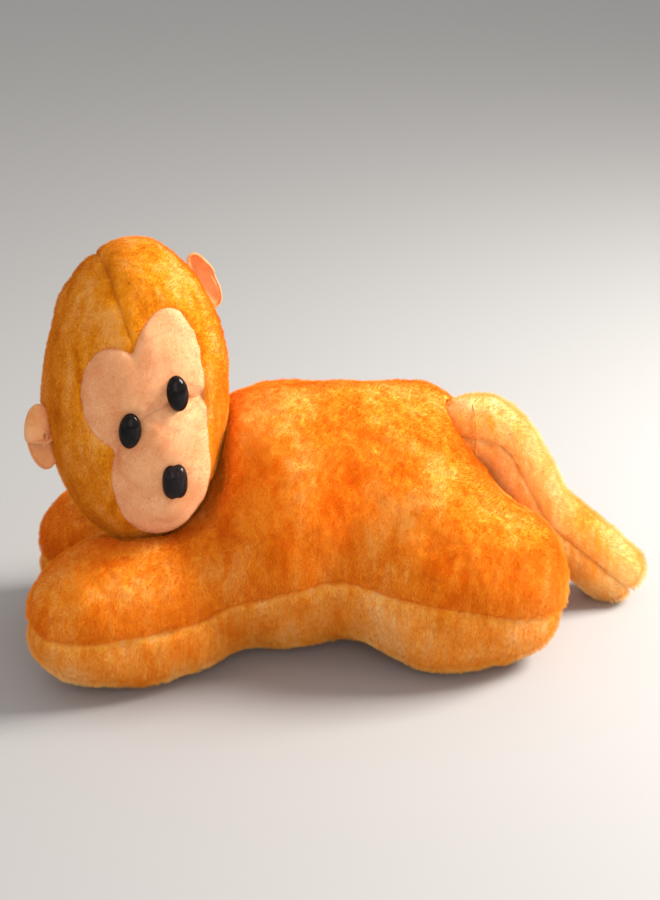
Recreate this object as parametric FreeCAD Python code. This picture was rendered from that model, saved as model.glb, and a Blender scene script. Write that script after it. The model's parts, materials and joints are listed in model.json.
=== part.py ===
"""A lying plush monkey: stuffed fabric covers, a head that turns, folding ears and a lifting tail.

It is drawn with +X towards the tail, -Y towards the near side and +Z up, standing on Z = 0.
The head is drawn about its own middle, long axis up, and each ear and button on its own base.
At the end everything moves together so that the origin is the bottom centre of the whole toy.
"""
import FreeCAD, Part
import math
import os

V = FreeCAD.Vector

# Driving dimensions, in millimetres and degrees
FABRIC = 2.0             # pile fabric with its backing
RUN_GAP = 0.5            # room between pieces that move on each other
THREAD = 0.5             # radius of the sewing thread

# Trunk: middle and half sizes of the swells that make it
SHOULDERS = (V(-45, 0, 94), V(72, 88, 96))
WAIST = (V(8, 0, 97), V(105, 80, 98))
HIPS = (V(62, 0, 88), V(76, 98, 93))
CHEST = (V(-112, 0, 60), V(62, 62, 62))

# Limbs, near side; the far side is the mirror image
ARM = (V(-144, -48, 53), V(80, 56, 56))
ARM_TURN = 12.0          # the hands spread apart
LEG = (V(88, -67, 62), V(72, 66, 66))

# Height of the sewn edge between back and belly, from chest to rump, as (x, z)
SEAM_LINE = ((-300, 48), (-100, 54), (-20, 76), (70, 66), (150, 42), (300, 40))

# Head
HEAD_MIDDLE = V(-139, -12, 203)
HEAD_HALF_WIDTH = 64.0
HEAD_HALF_HEIGHT = 110.0
HEAD_TILT = 2.3          # the crown leans towards the tail
CROWN_SEAM_ROLL = 14.0   # the seam over the crown leans with the face
HEAD_TURN = 20.0         # turns this far towards the shoulder
HEAD_TURN_STEP = 5.0
EYE_PLACES = {"left": (-7.7, -1.5), "right": (21.7, 10.9)}       # longitude, latitude
EYE_HALF = V(7.6, 12.6, 5.5)
NOSE_AT = (8.4, -9.4)    # across and up from the middle of the muzzle
NOSE_HALF = V(8.8, 13.0, 7.0)
MUZZLE = (V(13, -38, -37), V(34, 31, 50))
# Openings of the face, as middle and half sizes across and up
FACE_LOBES = (((18, 32), (24, 42)), ((-17, 18), (22, 33)), ((13, -44), (38, 50)))

# Buttons: the eyes and the nose have a stem that a washer grips behind the fabric
BUTTON_SINK = 1.5
STEM_RADIUS = 2.0
STEM_LENGTH = 13.0
WASHER_RADIUS = 7.0
WASHER_THICK = 1.5
WASHER_DEPTH = 4.5

# Neck: a short sleeve on the chest that the head's socket turns on
NECK_RADIUS = 24.0
NECK_FOOT = 40.0         # how far below the chin the sleeve starts
NECK_RISE = 20.0         # how far it stands into the head

# Ears: middle of the base as longitude and latitude, roll of the base line
EAR_PLACES = {"left": (-84.0, -14.5, -6.0), "right": (112.0, 41.0, 165.0)}
EAR_HALF = V(19, 23, 3.5)
EAR_CLEAR = 4.2          # base line to head
EAR_SINK = 2.0           # the ear's edge below its base line

# Tail, in a plane along the toy
TAIL_RADIUS = 24.0
TAIL_ROOT = V(104, 3, 150)
# Runs as (length, None, 0), bends as (None, radius, degrees downwards)
TAIL_BENDS = ((None, 36.0, 62.0), (50.0, None, 0.0), (None, 60.0, -19.0), (69.0, None, 0.0))
TAIL_LIFT = 40.0
LIFT_STEP = 8.0

# Closing seam: a row of ladder stitches on the far side of the waist
STITCH_COUNT = 9
STITCH_PITCH = 6.0
STITCH_LENGTH = 4.0

FAR = 400.0              # larger than the whole toy
SEAM_TURN = 37.0         # keeps each ball's own edge away from the cutting planes


def ellipsoid(middle, half, turn=0.0, shrink=0.0):
    """A ball stretched to half sizes, turned about Z, its surface moved in by shrink."""
    ball = Part.makeSphere(1.0)
    ball.rotate(V(), V(0, 0, 1), SEAM_TURN)
    stretch = FreeCAD.Matrix()
    stretch.scale(half.x - shrink, half.y - shrink, half.z - shrink)
    ball = ball.transformGeometry(stretch)
    ball.rotate(V(), V(0, 0, 1), turn)
    ball.translate(middle)
    return ball


def fuse(shapes):
    """Joins overlapping solids into one."""
    joined = shapes[0]
    for shape in shapes[1:]:
        joined = joined.fuse(shape)
    return joined


def half_space(normal, sign=1.0):
    """A block that fills one side of the plane through the origin."""
    block = Part.makeBox(2 * FAR, 2 * FAR, FAR, V(-FAR, -FAR, 0))
    direction = normal * sign
    block.Placement = FreeCAD.Placement(V(), FreeCAD.Rotation(V(0, 0, 1), direction)).multiply(block.Placement)
    return block


def mirrored(middle):
    return V(middle.x, -middle.y, middle.z)


def trunk_form(shrink):
    """Trunk with arms and legs, flat where it rests on its belly."""
    swells = [ellipsoid(middle, half, 0.0, shrink) for middle, half in (SHOULDERS, WAIST, HIPS, CHEST)]
    arm_middle, arm_half = ARM
    leg_middle, leg_half = LEG
    swells.append(ellipsoid(arm_middle, arm_half, ARM_TURN, shrink))
    swells.append(ellipsoid(mirrored(arm_middle), arm_half, -ARM_TURN, shrink))
    swells.append(ellipsoid(leg_middle, leg_half, 0.0, shrink))
    swells.append(ellipsoid(mirrored(leg_middle), leg_half, 0.0, shrink))
    floor_block = Part.makeBox(2 * FAR, 2 * FAR, FAR, V(-FAR, -FAR, shrink))
    return fuse(swells).common(floor_block)


def below_seam():
    """Everything under the sewn edge between back and belly."""
    points = [V(x, -FAR, z) for x, z in SEAM_LINE]
    points += [V(SEAM_LINE[-1][0], -FAR, -FAR), V(SEAM_LINE[0][0], -FAR, -FAR), points[0]]
    return Part.Face(Part.makePolygon(points)).extrude(V(0, 2 * FAR, 0))


def head_place():
    return FreeCAD.Placement(HEAD_MIDDLE, FreeCAD.Rotation(V(0, 1, 0), HEAD_TILT))


def head_form(grow=0.0):
    half = V(HEAD_HALF_WIDTH, HEAD_HALF_WIDTH, HEAD_HALF_HEIGHT)
    return ellipsoid(V(), half, 0.0, -grow)


def neck_column(radius, top_gap=0.0):
    """The neck's outside, along the head's long axis, with a domed top."""
    foot = -HEAD_HALF_HEIGHT - NECK_FOOT
    dome_middle = V(0, 0, -HEAD_HALF_HEIGHT + NECK_RISE - NECK_RADIUS / 2)
    shaft = Part.makeCylinder(radius, dome_middle.z - foot, V(0, 0, foot))
    dome = ellipsoid(dome_middle, V(radius, radius, NECK_RADIUS / 2 + top_gap))
    return shaft.fuse(dome)


def on_head(longitude, latitude):
    """A point on the head and the way its surface faces there."""
    lon = math.radians(longitude)
    lat = math.radians(latitude)
    point = V(math.cos(lat) * math.sin(lon), -math.cos(lat) * math.cos(lon), math.sin(lat))
    out = V(point.x / HEAD_HALF_WIDTH, point.y / HEAD_HALF_WIDTH, point.z / HEAD_HALF_HEIGHT)
    place = V(point.x * HEAD_HALF_WIDTH, point.y * HEAD_HALF_WIDTH, point.z * HEAD_HALF_HEIGHT)
    return place, out.normalize()


def on_muzzle(across, up):
    """A point on the front of the muzzle and the way its surface faces there."""
    middle, half = MUZZLE
    depth = half.y * math.sqrt(1 - (across / half.x) ** 2 - (up / half.z) ** 2)
    offset = V(across, -depth, up)
    out = V(offset.x / half.x ** 2, offset.y / half.y ** 2, offset.z / half.z ** 2)
    return middle + offset, out.normalize()


def standing_on(place, out, along=V(0, 0, 1)):
    """Placement whose Z leaves the surface and whose Y keeps as near as it can to along."""
    across = along.cross(out).normalize()
    upright = out.cross(across)
    turn = FreeCAD.Rotation(across, upright, out, "ZXY")
    return FreeCAD.Placement(place, turn)


def button(placement, half):
    """A domed button and its stem, and the washer that holds it."""
    above = Part.makeBox(2 * FAR, 2 * FAR, FAR, V(-FAR, -FAR, -BUTTON_SINK))
    dome = ellipsoid(V(), half).common(above)
    stem = Part.makeCylinder(STEM_RADIUS, STEM_LENGTH, V(0, 0, -STEM_LENGTH))
    disc = Part.makeCylinder(WASHER_RADIUS, WASHER_THICK, V(0, 0, -WASHER_DEPTH))
    whole = dome.fuse(stem)
    washer = disc.cut(stem)
    for shape in (whole, washer):
        shape.Placement = placement.multiply(shape.Placement)
    return whole, washer


def face_window():
    """The heart-shaped opening of the face, cut straight through the front of the head."""
    lobes = []
    for (across, up), (half_across, half_up) in FACE_LOBES:
        lobe = Part.makeCylinder(1.0, HEAD_HALF_WIDTH, V(), V(0, -1, 0))
        stretch = FreeCAD.Matrix()
        stretch.scale(half_across, 1.0, half_up)
        lobe = lobe.transformGeometry(stretch)
        lobe.translate(V(across, -RUN_GAP, up))
        lobes.append(lobe)
    return fuse(lobes)


def make_head():
    """All pieces that turn with the head, in the head's own place."""
    outside = head_form()
    inside = head_form(-FABRIC)
    middle, half = MUZZLE
    muzzle_outside = ellipsoid(middle, half)
    muzzle_inside = ellipsoid(middle, half, 0.0, FABRIC)
    socket_hole = neck_column(NECK_RADIUS + RUN_GAP, RUN_GAP)
    socket_skin = neck_column(NECK_RADIUS + RUN_GAP + FABRIC, RUN_GAP + FABRIC)

    shell = outside.cut(inside).cut(muzzle_outside).cut(socket_skin)
    window = face_window()
    hood = shell.cut(window)
    seam_normal = V(math.cos(math.radians(CROWN_SEAM_ROLL)), 0, math.sin(math.radians(CROWN_SEAM_ROLL)))
    rim_height = -HEAD_HALF_HEIGHT * math.sqrt(1 - (NECK_RADIUS / HEAD_HALF_WIDTH) ** 2)
    rim = Part.makeTorus(NECK_RADIUS + RUN_GAP + FABRIC / 2, THREAD, V(0, 0, rim_height + FABRIC))

    pieces = {
        "head_cover_left": hood.common(half_space(seam_normal, -1.0)),
        "head_cover_right": hood.common(half_space(seam_normal, 1.0)),
        "face_mask": shell.common(window),
        "muzzle_cover": muzzle_outside.cut(muzzle_inside).cut(outside),
        "neck_socket": socket_skin.cut(socket_hole).common(outside).cut(rim),
        "neck_stitch": rim,
        "head_filling": inside.cut(socket_skin),
        "muzzle_filling": muzzle_inside.cut(inside),
    }
    buttons = {}
    for side, spot in EYE_PLACES.items():
        place, out = on_head(*spot)
        buttons["eye_" + side] = button(standing_on(place, out), EYE_HALF)
    place, out = on_muzzle(*NOSE_AT)
    buttons["nose"] = button(standing_on(place, out), NOSE_HALF)
    for name, (whole, washer) in buttons.items():
        for soft in list(pieces):
            pieces[soft] = pieces[soft].cut(whole).cut(washer)
    for name, (whole, washer) in buttons.items():
        pieces[name] = whole
        pieces[name.replace("eye", "eye_washer").replace("nose", "nose_washer")] = washer
    return pieces


def ear_frame(side):
    """Placement of an ear: Z leaves the head, Y runs along the base, X is the ear's front."""
    longitude, latitude, roll = EAR_PLACES[side]
    place, out = on_head(longitude, latitude)
    base_line = V(math.sin(math.radians(roll)), 0, math.cos(math.radians(roll)))
    return standing_on(place + out * EAR_CLEAR, out, base_line)


def make_ear(side):
    """Front and back of one ear, a half disc standing on its base line."""
    disc = ellipsoid(V(), V(EAR_HALF.z, EAR_HALF.y, EAR_HALF.x))
    above = Part.makeBox(2 * FAR, 2 * FAR, FAR, V(-FAR, -FAR, -EAR_SINK))
    disc = disc.common(above)
    layers = {
        "ear_" + side + "_front": disc.common(half_space(V(1, 0, 0))),
        "ear_" + side + "_back": disc.common(half_space(V(-1, 0, 0))),
    }
    for layer in layers.values():
        layer.Placement = ear_frame(side).multiply(layer.Placement)
    return layers


def tail_path():
    """Straight runs and arcs of the tail's middle line, and where it ends."""
    edges = []
    here = TAIL_ROOT
    heading = 0.0
    for run, radius, bend in TAIL_BENDS:
        if run:
            there = here + V(math.cos(heading), 0, math.sin(heading)) * run
            edges.append(Part.LineSegment(here, there).toShape())
        else:
            angle = math.radians(bend)
            side = math.copysign(1.0, angle)
            centre = here + V(math.sin(heading), 0, -math.cos(heading)) * radius * side
            halfway = heading - angle / 2
            heading -= angle
            middle = centre + V(-math.sin(halfway), 0, math.cos(halfway)) * radius * side
            there = centre + V(-math.sin(heading), 0, math.cos(heading)) * radius * side
            edges.append(Part.Arc(here, middle, there).toShape())
        here = there
    return edges, here, heading


def tail_form(radius):
    """The tail as a tube with round ends."""
    edges, end, heading = tail_path()
    path = Part.Wire(edges)
    circle = Part.Wire(Part.makeCircle(radius, TAIL_ROOT, V(1, 0, 0)))
    tube = path.makePipeShell([circle], True, True)
    ahead = V(math.cos(heading), 0, math.sin(heading))
    root_end = Part.makeSphere(radius, TAIL_ROOT, V(-1, 0, 0), 0, 90, 360)
    tip_end = Part.makeSphere(radius, end, ahead, 0, 90, 360)
    return tube.fuse(root_end).fuse(tip_end)


def under_tail():
    """Everything under the tail's middle line, as a flat sheet made thick."""
    edges, end, heading = tail_path()
    ahead = end + V(math.cos(heading), 0, math.sin(heading)) * FAR
    behind = TAIL_ROOT - V(FAR, 0, 0)
    corners = [V(ahead.x, end.y, -FAR), V(behind.x, end.y, -FAR)]
    outline = [Part.LineSegment(behind, TAIL_ROOT).toShape()] + edges
    outline.append(Part.LineSegment(end, ahead).toShape())
    outline.append(Part.LineSegment(ahead, corners[0]).toShape())
    outline.append(Part.LineSegment(corners[0], corners[1]).toShape())
    outline.append(Part.LineSegment(corners[1], behind).toShape())
    sheet = Part.Face(Part.Wire(outline))
    sheet.translate(V(0, -FAR, 0))
    return sheet.extrude(V(0, 2 * FAR, 0))


def make_tail():
    outside = tail_form(TAIL_RADIUS)
    inside = tail_form(TAIL_RADIUS - FABRIC)
    cover = outside.cut(inside)
    ring = Part.makeTorus(TAIL_RADIUS - THREAD / 2, THREAD, TAIL_ROOT, V(1, 0, 0))
    cover = cover.cut(ring)
    underside = under_tail()
    return {
        "tail_cover_top": cover.cut(underside),
        "tail_cover_under": cover.common(underside),
        "tail_filling": inside,
        "tail_stitch": ring,
    }


def tail_room():
    """The space that the tail sweeps through as it lifts."""
    room = []
    for step in range(int(TAIL_LIFT / LIFT_STEP) + 1):
        lifted = tail_form(TAIL_RADIUS + RUN_GAP)
        lifted.rotate(TAIL_ROOT, V(0, -1, 0), step * LIFT_STEP)
        room.append(lifted)
    return room


def trunk_side(x, z):
    """How far the trunk reaches sideways at a place along it."""
    reach = 0.0
    for middle, half in (SHOULDERS, WAIST, HIPS):
        inside = 1 - ((x - middle.x) / half.x) ** 2 - ((z - middle.z) / half.z) ** 2
        reach = max(reach, half.y * math.sqrt(max(inside, 0.0)))
    return reach


def head_room():
    """The space that the head and its muzzle need as they turn towards the shoulder."""
    room = [head_form(RUN_GAP)]
    middle, half = MUZZLE
    for step in range(int(HEAD_TURN / HEAD_TURN_STEP) + 1):
        turned = ellipsoid(middle, half, 0.0, -RUN_GAP)
        turned.rotate(V(), V(0, 0, 1), step * HEAD_TURN_STEP)
        room.append(turned)
    for shape in room:
        shape.Placement = head_place().multiply(shape.Placement)
    return room


def ladder_stitches():
    """Short stitches side by side across the closing seam."""
    start = WAIST[0].x - STITCH_PITCH * STITCH_COUNT / 2
    row = []
    for index in range(STITCH_COUNT):
        x = start + index * STITCH_PITCH
        z = seam_height(x)
        foot = V(x, trunk_side(x, z), z - STITCH_LENGTH / 2)
        row.append(Part.makeCylinder(THREAD, STITCH_LENGTH, foot))
    return Part.makeCompound(row)


def seam_height(x):
    """Height of the sewn edge at a place along the toy."""
    for (x0, z0), (x1, z1) in zip(SEAM_LINE, SEAM_LINE[1:]):
        if x0 <= x <= x1:
            return z0 + (z1 - z0) * (x - x0) / (x1 - x0)
    return SEAM_LINE[-1][1]


def make_trunk():
    """Covers and filling of trunk, arms and legs, with dents for the head and the tail."""
    place = head_place()
    dents = head_room() + tail_room()
    sleeve_outside = neck_column(NECK_RADIUS)
    sleeve_inside = neck_column(NECK_RADIUS - FABRIC, -FABRIC)
    for shape in (sleeve_outside, sleeve_inside):
        shape.Placement = place.multiply(shape.Placement)
    outside = trunk_form(0.0)
    inside = trunk_form(FABRIC)
    for dent in dents:
        outside = outside.cut(dent)
        inside = inside.cut(dent)
    cover = outside.cut(inside).cut(sleeve_outside)
    stitches = ladder_stitches()
    cover = cover.cut(stitches)
    belly_side = below_seam()
    return {
        "back_cover": cover.cut(belly_side),
        "belly_cover": cover.common(belly_side),
        "torso_filling": inside.cut(sleeve_outside).cut(stitches),
        "closing_stitch": stitches,
        "neck_sleeve": sleeve_outside.cut(sleeve_inside),
        "neck_filling": sleeve_inside,
    }


def build():
    """All pieces by name, in place."""
    pieces = make_trunk()
    place = head_place()
    head = make_head()
    for side in EAR_PLACES:
        head.update(make_ear(side))
    for name, shape in head.items():
        shape.Placement = place.multiply(shape.Placement)
        pieces[name] = shape
    pieces.update(make_tail())
    return pieces


def whole_box(pieces):
    box = FreeCAD.BoundBox()
    for shape in pieces.values():
        box.add(shape.optimalBoundingBox())
    return box


def report_axes(shift):
    """Prints the places and directions that the joints turn about, in metres."""
    place = head_place()
    lines = {"head_turn": (HEAD_MIDDLE, place.Rotation.multVec(V(0, 0, 1)))}
    for side in EAR_PLACES:
        frame = place.multiply(ear_frame(side))
        lines["ear_" + side + "_fold"] = (frame.Base, frame.Rotation.multVec(V(0, 1, 0)))
    lines["tail_lift"] = (TAIL_ROOT, V(0, -1, 0))
    for name, (point, axis) in lines.items():
        at = (point + shift) * 0.001
        print(name, [round(v, 5) for v in at], [round(v, 5) for v in axis])


def main():
    os.makedirs("parts", exist_ok=True)
    pieces = build()
    box = whole_box(pieces)
    shift = V(-box.Center.x, -box.Center.y, -box.ZMin)
    for name, shape in pieces.items():
        shape.translate(shift)
        shape.exportStep("parts/" + name + ".step")
        print(name, shape.ShapeType, len(shape.Solids), shape.isValid(), round(shape.Volume / 1000, 1), "cm3")
    print("size", round(box.XLength, 1), round(box.YLength, 1), round(box.ZLength, 1))
    report_axes(shift)


main()
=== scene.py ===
"""Looks of a lying plush monkey: stuffed pile covers, velour face and ears, button eyes and nose.

Each stuffed bag is made as one closed form, drawn in along its seams, and cut there into its sewn covers.
Short fur is combed onto the covers. Lengths are in metres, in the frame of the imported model.
"""
import json
import math

import bpy
import numpy as np
import openvdb
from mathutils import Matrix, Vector
from mathutils.kdtree import KDTree


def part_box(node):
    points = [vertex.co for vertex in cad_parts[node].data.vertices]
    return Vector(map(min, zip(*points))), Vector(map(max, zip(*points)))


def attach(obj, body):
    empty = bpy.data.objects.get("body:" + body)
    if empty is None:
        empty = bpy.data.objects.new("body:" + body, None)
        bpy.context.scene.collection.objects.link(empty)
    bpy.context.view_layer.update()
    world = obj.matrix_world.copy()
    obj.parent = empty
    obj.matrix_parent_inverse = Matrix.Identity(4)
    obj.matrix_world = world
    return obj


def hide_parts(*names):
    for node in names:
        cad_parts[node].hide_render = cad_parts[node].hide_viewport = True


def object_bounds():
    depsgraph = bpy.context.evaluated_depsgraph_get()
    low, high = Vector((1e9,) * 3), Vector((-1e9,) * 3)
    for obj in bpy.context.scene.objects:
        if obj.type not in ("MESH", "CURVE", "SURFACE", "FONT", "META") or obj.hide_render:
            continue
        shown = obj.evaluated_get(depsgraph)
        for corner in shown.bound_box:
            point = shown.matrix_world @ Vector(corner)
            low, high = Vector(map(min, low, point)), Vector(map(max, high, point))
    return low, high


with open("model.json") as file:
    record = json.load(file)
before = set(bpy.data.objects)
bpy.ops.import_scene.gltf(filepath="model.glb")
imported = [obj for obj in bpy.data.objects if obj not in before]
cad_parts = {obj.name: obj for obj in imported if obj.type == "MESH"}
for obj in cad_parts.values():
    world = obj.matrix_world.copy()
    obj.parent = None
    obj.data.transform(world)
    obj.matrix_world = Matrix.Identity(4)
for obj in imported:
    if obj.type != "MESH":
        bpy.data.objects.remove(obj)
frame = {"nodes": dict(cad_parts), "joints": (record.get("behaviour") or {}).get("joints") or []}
cad_low, cad_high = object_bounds()
JOINTS = {joint["name"]: joint for joint in frame["joints"]}
NECK_AT = np.array(JOINTS["head_turn"]["pos_m"])
NECK_AXIS = np.array(JOINTS["head_turn"]["axis"])
TAIL_AT = np.array(JOINTS["tail_lift"]["pos_m"])

# Cloth, filling and the cells that each form is meshed with
CLOTH = 0.0016
FILLING_INSET = 0.0090   # from the outside of a cover to its filling, clear of the grooves
TRUNK_CELL = 0.0023
HEAD_CELL = 0.0017
TAIL_CELL = 0.0020
FILLING_CELL = 0.0060
FLOOR_GAP = 0.0004

# Trunk swells, drawn from the middle of the toy's footprint: middle and half sizes
FOOTPRINT = np.array([TAIL_AT[0] - 0.104, 0.0, 0.0])
SHOULDERS = ((-0.045, 0.0, 0.094), (0.070, 0.086, 0.096))
WAIST = ((0.006, 0.0, 0.096), (0.106, 0.076, 0.096))
HIPS = ((0.050, 0.0, 0.079), (0.070, 0.094, 0.079))
TAIL_RIDGE = ((0.068, 0.026, 0.147), (0.037, 0.032, 0.030))
CHEST = ((-0.112, 0.0, 0.058), (0.060, 0.060, 0.058))
ARM_NEAR = ((-0.146, -0.046, 0.054), (0.081, 0.048, 0.054))
ARM_FAR = ((-0.137, 0.046, 0.054), (0.078, 0.048, 0.054))
ARM_TURN = 12.0
LEG = ((0.088, -0.064, 0.060), (0.071, 0.056, 0.062))
LEG_FAR = ((0.088, 0.064, 0.060), (0.071, 0.056, 0.062))
BOXY = 2.4               # stuffed limbs are fuller than plain balls
MELT = 0.030             # how softly the swells run into each other
ARM_MELT = 0.020
FLOOR_EDGE = 0.018       # roundness where the bag spreads on the floor
SEAM_HEIGHTS = (
    (-0.300, 0.048), (-0.100, 0.054), (-0.020, 0.076),
    (0.070, 0.066), (0.150, 0.042), (0.300, 0.040),
)
SEAM_SOFTEN = 0.018      # half the length over which the seam line's bends are spread
ARMPIT_AT = -0.088       # where the crease behind the arm stands
ARMPIT_LEAN = 0.15
ARMPIT_DEPTH = 0.0035
SEAT_EDGE = 0.010        # roundness of the hollow under the head
TAIL_BED_EDGE = 0.004

# How the trunk's cloth fills out
TRIAL_CELL = 0.0065
PRESSURE = 4.0
FILLING_STEPS = 20
HELD_WIDTH = 0.006       # beside the sewn edge the cloth is held
MOST_SWELL = 0.006
SWELL_FADE = 0.012       # the swelling dies out towards the head, the tail and the floor

# Head, drawn from its middle with its long axis up: ovals are their middle and half sizes
HEAD_HALF = np.array([0.064, 0.064, 0.110])
MUZZLE = ((0.014, -0.036, -0.038), (0.036, 0.033, 0.050))
MUZZLE_MELT = 0.010
BROW_RIGHT = ((0.0175, 0.030), (0.0255, 0.046))
BROW_LEFT = ((-0.018, 0.017), (0.024, 0.035))
CHEEK = ((0.021, -0.002), (0.027, 0.050))
CHIN = ((0.0138, -0.038), (0.0358, 0.056))
MUZZLE_SEAM = ((0.032, -0.034), (0.052, 0.048))
MUZZLE_SIDES = -0.030    # under this height the muzzle takes the whole width of the face
CROWN_FACES = (0.96, 0.13, 0.245)       # square to the seam over the crown
HEAD_GAP = 0.0015        # between the trunk's hollow and the head
MUZZLE_STEPS = np.linspace(0.0, JOINTS["head_turn"]["range_deg"][1], 5)

# Buttons: degrees round the head, up, and tilt; half width, half height and dome
EYES = {"eye_left": (-7.7, -1.5, -4.0), "eye_right": (21.7, 10.9, 6.0)}
EYE_HALF = (0.0076, 0.0126, 0.0062)
NOSE = (17.0, -17.5, 2.0)
NOSE_HALF = (0.0090, 0.0132, 0.0072)
BUTTON_UNDER = -32       # degrees of the dome where its edge turns under the cloth
BUTTON_SWEEP = 120

# Ears: half height and half reach of the outline, how far it comes to a point, how deep it cups,
# and how far the upper rim folds over and turns
EARS = {
    "left": {"half": 0.0245, "reach": 0.0112, "point": 0.0, "cup": 0.004, "flap": 0.022, "turn": 168.0},
    "right": {"half": 0.0200, "reach": 0.0095, "point": 0.25, "cup": 0.010, "flap": 0.002, "turn": 80.0},
}
EAR_SUNK = 0.011         # the sewn edge is tucked under the fur
EAR_ROLL = 0.0035        # radius of the rolled rim
EAR_PLUMP = 0.0016

# Tail: runs and bends from its root
TAIL_RADIUS = 0.0235
TAIL_RUNS = ((None, 0.036, 62.0), (0.050, None, 0.0), (None, 0.060, -19.0), (0.071, None, 0.0))
TAIL_BLUNT = 0.016       # how far the end reaches past the last point
TAIL_END_EDGE = 0.012
TAIL_FLOOR_EDGE = 0.006
TAIL_GAP = 0.0006

# Grooves of the seams: depth and half width
EDGE_GROOVE = (0.0030, 0.0022)
FACE_GROOVE = (0.0015, 0.0014)
MUZZLE_GROOVE = (0.0034, 0.0042)
CROWN_GROOVE = (0.0014, 0.0013)
TAIL_GROOVE = (0.0022, 0.0018)
GATHER_SIZE = 0.0055     # how far apart the thread's gathers stand

# Layers of stuffing lumps and of tufts: height, size and seed
TRUNK_LUMPS = ((0.0016, 0.045, 1), (0.0007, 0.018, 2))
HEAD_LUMPS = ((0.0009, 0.040, 21), (0.0004, 0.015, 22))
TAIL_LUMPS = ((0.0010, 0.030, 31), (0.0004, 0.012, 32))
TRUNK_TUFTS = ((0.00035, 0.0045, 4),)
HOOD_TUFTS = ((0.00022, 0.0040, 26),)
TAIL_TUFTS = ((0.00030, 0.0042, 34),)
FIBRE_LUMPS = ((0.0008, 0.012, 5),)

# Fur lengths; the cloth lies under the outline by the share that the fur stands up
BODY_FUR = 0.0042
HOOD_FUR = 0.0024
TAIL_FUR = 0.0046
FACE_NAP = 0.0010
STRAND = 0.00009         # radius at the root
STRANDS_PER_TUFT = 24
STRANDS_PER_MM = {"body": 2.6, "hood": 3.0, "face": 2.6, "tail": 2.6, "ear": 2.2}      # square millimetres
LEANS = {
    "body": (0.10, 0.0, -0.42), "hood": (0.0, 0.0, -0.25), "face": (0.0, 0.0, -0.4),
    "tail": (0.30, 0.0, -0.30), "ear": (0.0, 0.0, -0.3),
}
FUR_STANDS = 0.4

# Studio
CAMERA_TURN = math.radians(-10)
CAMERA_RISE = math.radians(24)
CAMERA_DISTANCE = 1.3
CAMERA_WIDTH = 0.6534    # what the view takes in at that distance
SENSOR = 36.0
AIM_HEIGHT = 0.1423
FLOOR_HALF = 60.0
WARM_SHEEN = (1.0, 0.70, 0.36, 1)
WARM_GLINT = (1.0, 0.62, 0.25, 1)


# ---------------------------------------------------------------- small sums

def length(rows):
    """The length of each row."""
    return np.sqrt((rows * rows).sum(-1))


def turned(rows, degrees):
    """Rows turned about Z."""
    angle = math.radians(degrees)
    c, s = math.cos(angle), math.sin(angle)
    return np.stack([c * rows[:, 0] - s * rows[:, 1], s * rows[:, 0] + c * rows[:, 1], rows[:, 2]], -1)


def ball(rows, middle, half, turn=0.0, power=2.0):
    """Distance to a stretched ball, good near its surface. More power makes it fuller."""
    local = rows - np.asarray(middle)
    if turn:
        local = turned(local, -turn)
    half = np.asarray(half)
    scaled = np.abs(local / half) + 1e-9
    near = (scaled ** power).sum(-1) ** (1.0 / power)
    slope = length(scaled ** (power - 1.0) / half) / near ** (power - 1.0)
    return (near - 1.0) / slope


def melt(a, b, width):
    """The nearer of two forms, running softly into each other."""
    overlap = np.maximum(width - np.abs(a - b), 0.0) / width
    return np.minimum(a, b) - overlap ** 2 * width / 4


def carve(a, b, width):
    """The part of a that is inside b, with a soft edge."""
    return -melt(-a, -b, width)


def bell(level, width):
    """1 at level 0, falling away over the width."""
    return np.exp(-(level / width) ** 2)


def lumps(rows, size, seed):
    """Soft random bumps of about that size, mostly between -1 and 1."""
    dice = np.random.default_rng(seed)
    total = np.zeros(len(rows))
    for _ in range(14):
        wave = dice.normal(size=3)
        wave *= dice.uniform(0.7, 1.5) * math.pi / (size * np.linalg.norm(wave))
        total += np.sin(rows @ wave + dice.uniform(0.0, 2 * math.pi))
    return total / 3.7


def uneven(rows, layers):
    """Layers of soft bumps added up."""
    return sum(height * lumps(rows, size, seed) for height, size, seed in layers)


def head_axes():
    """Side, back and up of the head as columns."""
    up = NECK_AXIS / np.linalg.norm(NECK_AXIS)
    side = np.cross([0.0, 1.0, 0.0], up)
    side /= np.linalg.norm(side)
    return np.stack([side, np.cross(up, side), up], -1)


HEAD_AXES = head_axes()


def head_local(rows):
    """Rows as seen from the head's middle, along its own side, back and up."""
    return (rows - NECK_AT) @ HEAD_AXES


def head_world(rows):
    return np.asarray(rows) @ HEAD_AXES.T + NECK_AT


# ---------------------------------------------------------------- forms: negative inside

def tail_line():
    """Points along the middle of the tail, from root to tip."""
    here = TAIL_AT.copy()
    heading = 0.0
    points = [here.copy()]
    steps = 10
    for run, radius, bend in TAIL_RUNS:
        for _ in range(steps):
            heading -= math.radians(bend / steps)
            stride = run / steps if run else radius * abs(math.radians(bend)) / steps
            here = here + stride * np.array([math.cos(heading), 0.0, math.sin(heading)])
            points.append(here.copy())
    return np.array(points)


TAIL_POINTS = tail_line()


def along_tail(rows):
    """Distance to the tail's middle line, and height over it square to its run."""
    nearest = np.full(len(rows), 1.0)
    height = np.zeros(len(rows))
    for start, end in zip(TAIL_POINTS, TAIL_POINTS[1:]):
        run = end - start
        share = np.clip(((rows - start) @ run) / (run @ run), 0.0, 1.0)
        away = rows - start - share[:, None] * run
        distance = length(away)
        closer = distance < nearest
        nearest = np.where(closer, distance, nearest)
        up = np.array([-run[2], 0.0, run[0]]) / np.linalg.norm(run)
        height = np.where(closer, away @ up, height)
    return nearest, height


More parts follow.
